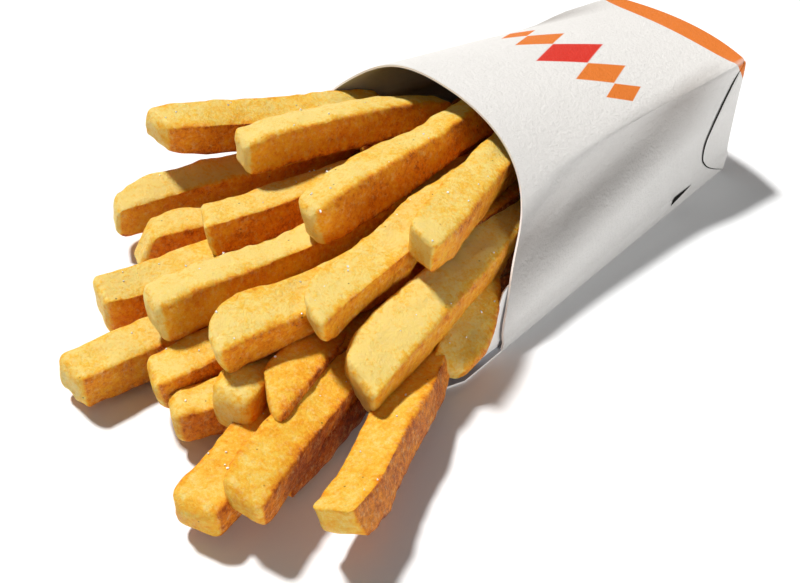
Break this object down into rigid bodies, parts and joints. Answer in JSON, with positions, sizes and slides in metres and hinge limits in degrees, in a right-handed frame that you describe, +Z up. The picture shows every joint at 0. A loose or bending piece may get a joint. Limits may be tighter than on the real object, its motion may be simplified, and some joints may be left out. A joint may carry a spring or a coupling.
{
  "type": "french fries in a carton",
  "caption": "Thick-cut french fries fanning out of a tapered white board carton that lies on its back panel, mouth open.",
  "frame": {"origin": "on the underside of the carton's back panel, on its centre line, 50 mm in front of the base's corners", "axes": "+Z up, away from the surface it lies on; -Y out of the carton's mouth; +X to the right as seen from the base"},
  "size_m": [0.129, 0.1887, 0.0399],
  "materials": {
    "white_board": "satin",
    "fried_potato": "crisp, slightly oily"
  },
  "bodies": {
    "root": {"carton": "white_board", "fries": "fried_potato"}
  },
  "joints": []
}
